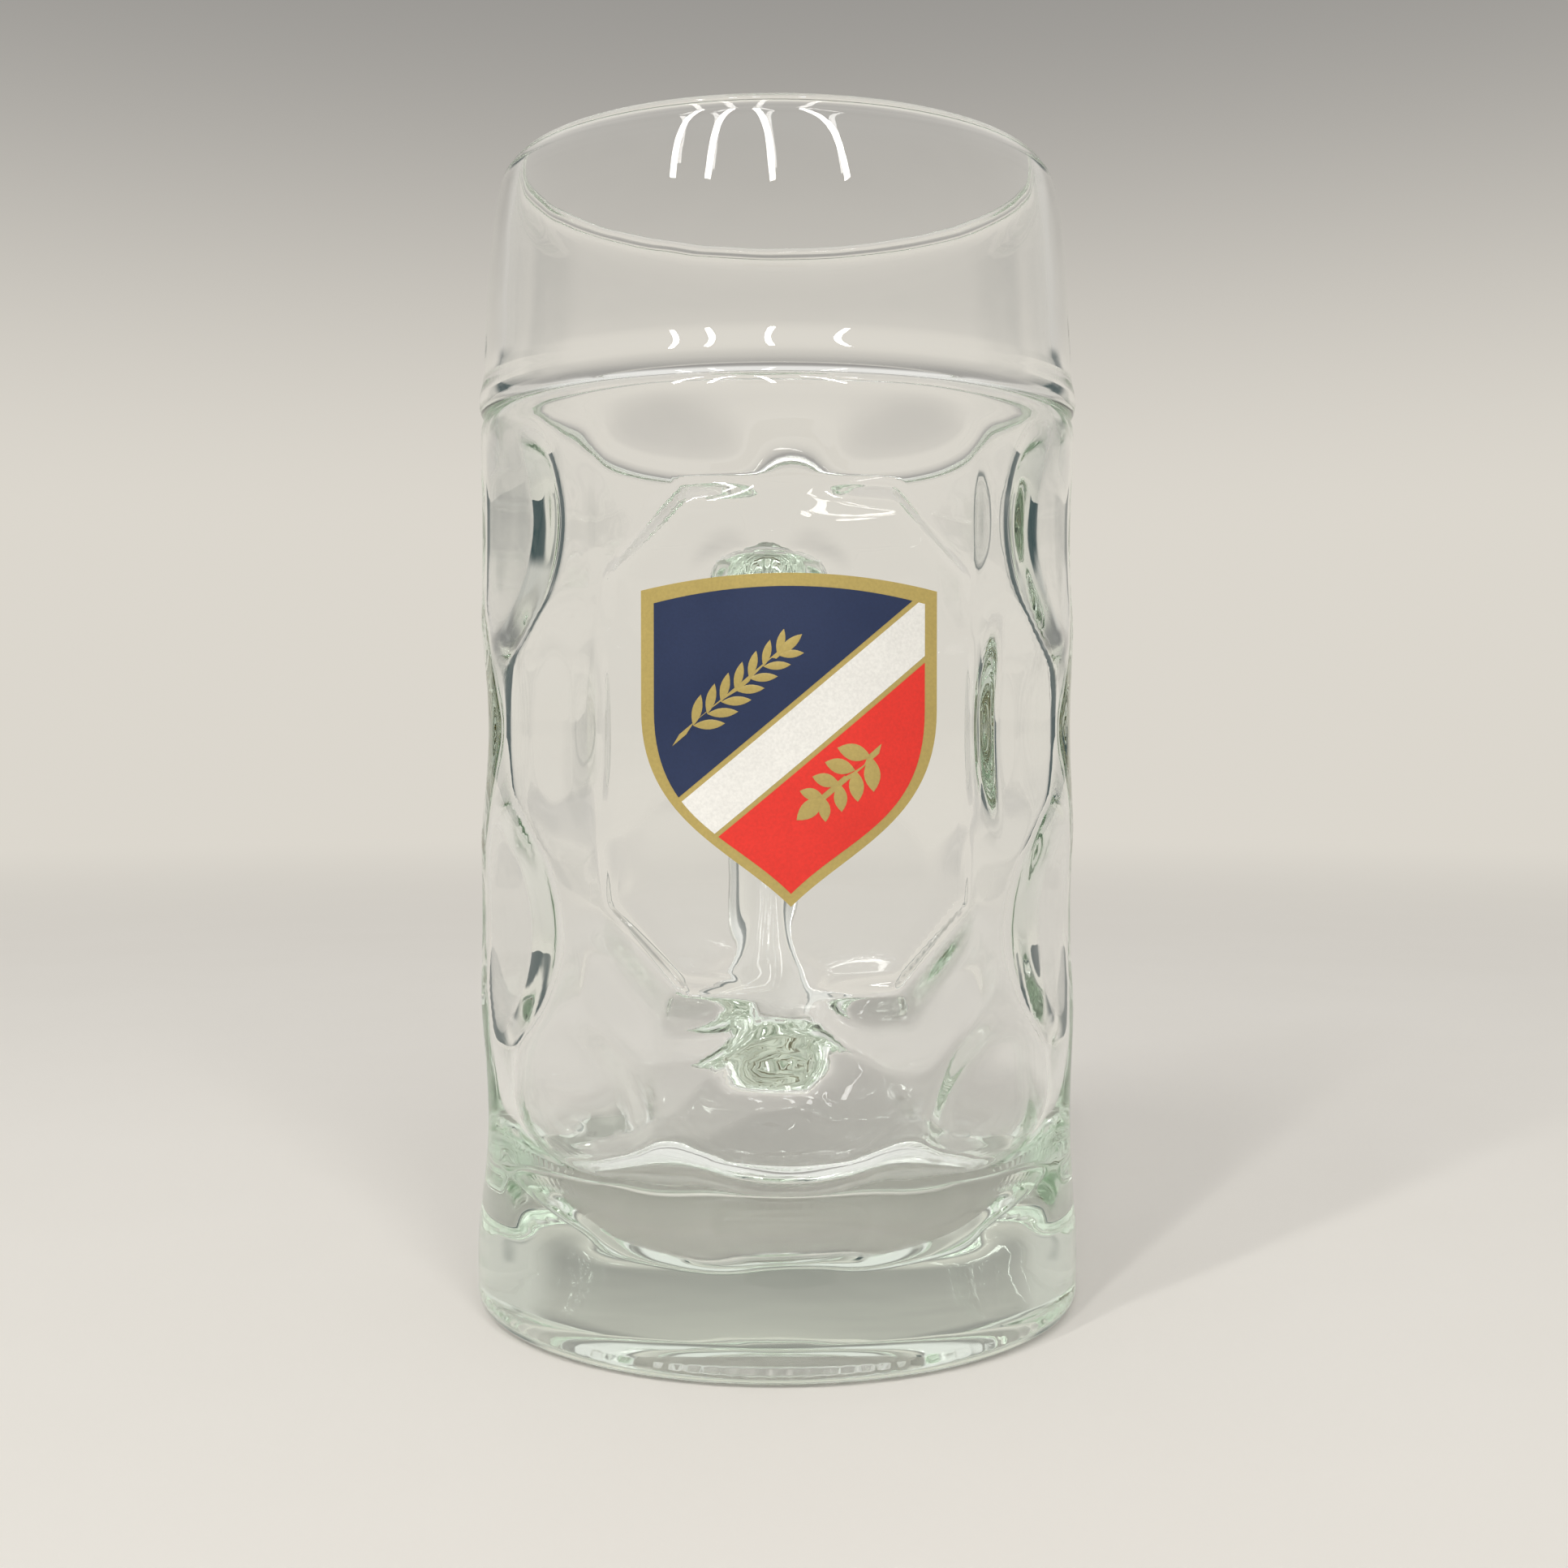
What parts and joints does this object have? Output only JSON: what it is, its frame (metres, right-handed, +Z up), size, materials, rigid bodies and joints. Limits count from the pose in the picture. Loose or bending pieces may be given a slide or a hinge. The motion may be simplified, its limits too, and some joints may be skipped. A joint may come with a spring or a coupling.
{
  "type": "dimple beer mug",
  "caption": "Tall clear glass beer mug with round pressed dimples, a bead ring under a plain lip, a glass loop handle and a printed shield on a flush panel.",
  "frame": {"origin": "on the mug's axis, at the plane it stands on, one millimetre under the middle of the recessed underside", "axes": "+Z up along the mug's axis, -Y out through the printed side, +Y towards the handle"},
  "size_m": [0.108, 0.1557, 0.2],
  "materials": {
    "clear_glass": "clear soda-lime glass with a faint green tint, smooth and fire polished",
    "gold_print": "fired matt-gold enamel print",
    "navy_print": "fired navy enamel print",
    "red_print": "fired red enamel print",
    "white_print": "fired white enamel print"
  },
  "bodies": {
    "root": {"glass_body": "clear_glass", "handle": "clear_glass", "print_gold_ground": "gold_print", "print_navy_field": "navy_print", "print_red_field": "red_print", "print_white_band": "white_print", "print_gold_barley": "gold_print", "print_gold_hop": "gold_print"}
  },
  "joints": []
}
